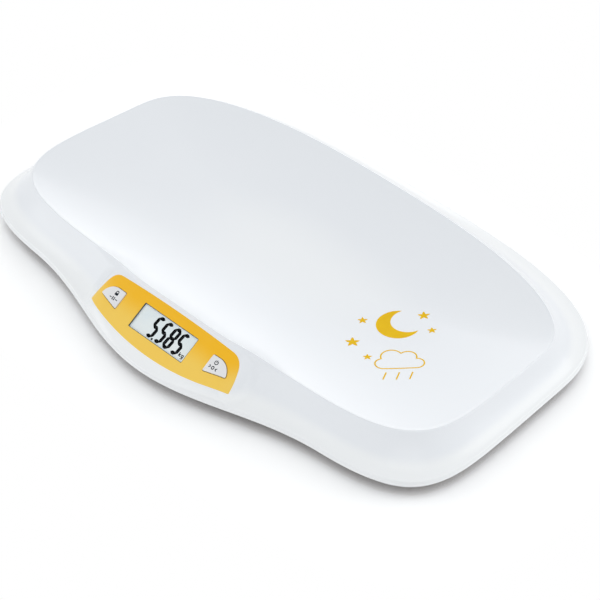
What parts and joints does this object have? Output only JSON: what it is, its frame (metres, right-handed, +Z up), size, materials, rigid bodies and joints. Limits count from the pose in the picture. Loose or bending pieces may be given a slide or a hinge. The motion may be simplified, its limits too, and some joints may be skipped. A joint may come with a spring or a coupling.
{
  "type": "digital baby weighing scale",
  "caption": "Baby scale: a long shallow dished tray on sprung load-cell feet, with a tilted display and two push buttons in the front skirt and a battery bay below.",
  "frame": {"origin": "on the floor, under the middle of the tray's outline", "axes": "+X along the tray's length, -Y towards the console side, +Z up"},
  "size_m": [0.548, 0.344, 0.0526],
  "materials": {
    "white_shell": "satin-gloss moulded",
    "white_base": "fine-textured moulded",
    "orange_panel": "satin printed overlay",
    "clear_window": "clear",
    "display_glass": "polarised display glass",
    "white_frame": "moulded",
    "connector_rubber": "smooth",
    "button_white": "satin moulded",
    "keypad_rubber": "smooth",
    "board_green": "solder mask",
    "chip_black": "resin",
    "component_black": "moulded",
    "screw_steel": "zinc plated",
    "socket_white": "moulded",
    "battery_wrap": "printed wrap",
    "contact_nickel": "nickel plated",
    "unit_button_grey": "moulded",
    "switch_board": "solder mask",
    "bracket_white": "moulded",
    "load_cell_steel": "stamped",
    "foot_grey": "moulded",
    "pad_rubber": "matt",
    "lead_grey": "insulated cable"
  },
  "bodies": {
    "housing": {"tray_shell": "white_shell", "base_plate": "white_base", "console_panel": "orange_panel", "display_window": "clear_window", "display_glass": "display_glass", "display_holder": "white_frame", "connector_strips": "connector_rubber", "hold_keypad": "keypad_rubber", "tare_keypad": "keypad_rubber", "circuit_board": "board_green", "circuit_chip": "chip_black", "board_parts": "component_black", "board_screws": "screw_steel", "base_screws": "screw_steel", "load_cell_screws": "screw_steel", "lead_socket": "socket_white", "battery_1": "battery_wrap", "battery_2": "battery_wrap", "battery_3": "battery_wrap", "battery_contacts": "contact_nickel", "battery_springs": "contact_nickel", "unit_switch": "switch_board", "cell_bracket_front_left": "bracket_white", "cell_bracket_front_right": "bracket_white", "cell_bracket_back_left": "bracket_white", "cell_bracket_back_right": "bracket_white", "load_cell_front_left": "load_cell_steel", "load_cell_front_right": "load_cell_steel", "load_cell_back_left": "load_cell_steel", "load_cell_back_right": "load_cell_steel", "cell_lead_front_left": "lead_grey", "cell_lead_front_right": "lead_grey", "cell_lead_back_left": "lead_grey", "cell_lead_back_right": "lead_grey"},
    "hold_button": {"hold_button": "button_white"},
    "tare_button": {"tare_button": "button_white"},
    "unit_button": {"unit_button": "unit_button_grey"},
    "battery_cover": {"battery_cover": "white_base"},
    "foot_front_left": {"foot_cup_front_left": "foot_grey", "foot_pad_front_left": "pad_rubber"},
    "foot_front_right": {"foot_cup_front_right": "foot_grey", "foot_pad_front_right": "pad_rubber"},
    "foot_back_left": {"foot_cup_back_left": "foot_grey", "foot_pad_back_left": "pad_rubber"},
    "foot_back_right": {"foot_cup_back_right": "foot_grey", "foot_pad_back_right": "pad_rubber"}
  },
  "joints": [
    {"name": "hold_button_press", "type": "slide", "parent": "housing", "child": "hold_button", "axis": [0, 0.5373, -0.8434], "range_m": [0, 0.0008], "stiffness_N_per_m": 2500, "springref_m": -0.0002},
    {"name": "tare_button_press", "type": "slide", "parent": "housing", "child": "tare_button", "axis": [0, 0.5373, -0.8434], "range_m": [0, 0.0008], "stiffness_N_per_m": 2500, "springref_m": -0.0002},
    {"name": "unit_button_press", "type": "slide", "parent": "housing", "child": "unit_button", "axis": [0, 0, 1], "range_m": [0, 0.0006], "stiffness_N_per_m": 2500, "springref_m": -0.0002},
    {"name": "battery_cover_hinge", "type": "hinge", "parent": "housing", "child": "battery_cover", "pos_m": [-0.0288, -0.075, 0.0102], "axis": [0, 1, 0], "range_deg": [0, 80]},
    {"name": "foot_front_left_travel", "type": "slide", "parent": "housing", "child": "foot_front_left", "axis": [0, 0, 1], "range_m": [0, 0.0005], "stiffness_N_per_m": 60000, "springref_m": -0.00015},
    {"name": "foot_front_right_travel", "type": "slide", "parent": "housing", "child": "foot_front_right", "axis": [0, 0, 1], "range_m": [0, 0.0005], "stiffness_N_per_m": 60000, "springref_m": -0.00015},
    {"name": "foot_back_left_travel", "type": "slide", "parent": "housing", "child": "foot_back_left", "axis": [0, 0, 1], "range_m": [0, 0.0005], "stiffness_N_per_m": 60000, "springref_m": -0.00015},
    {"name": "foot_back_right_travel", "type": "slide", "parent": "housing", "child": "foot_back_right", "axis": [0, 0, 1], "range_m": [0, 0.0005], "stiffness_N_per_m": 60000, "springref_m": -0.00015}
  ]
}
